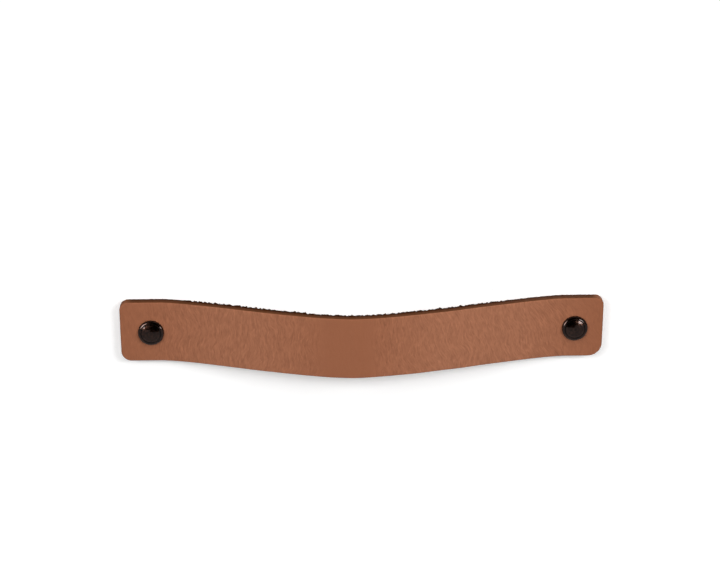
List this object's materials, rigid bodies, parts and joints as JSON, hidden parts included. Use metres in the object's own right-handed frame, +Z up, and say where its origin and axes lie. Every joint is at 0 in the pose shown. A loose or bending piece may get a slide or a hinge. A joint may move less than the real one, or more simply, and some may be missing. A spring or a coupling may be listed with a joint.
{
  "type": "leather strap pull",
  "caption": "Bowed leather strap drawer pull with black domed cap nuts at its ends and machine screws that hold it from behind the drawer front.",
  "frame": {"origin": "on the drawer front that the strap is fixed to, midway between the two screws", "axes": "+X along the strap to the right as seen by a person who faces the drawer, +Z up, +Y into the drawer front; the strap bows out towards -Y"},
  "size_m": [0.1949, 0.0429, 0.0254],
  "materials": {
    "leather": "vegetable-tanned, satin, cognac brown",
    "black_nickel": "polished black nickel plate",
    "zinc_plate": "bright zinc plate"
  },
  "bodies": {
    "root": {"strap": "leather", "left_cap_nut": "black_nickel", "right_cap_nut": "black_nickel", "left_screw": "zinc_plate", "right_screw": "zinc_plate"}
  },
  "joints": []
}
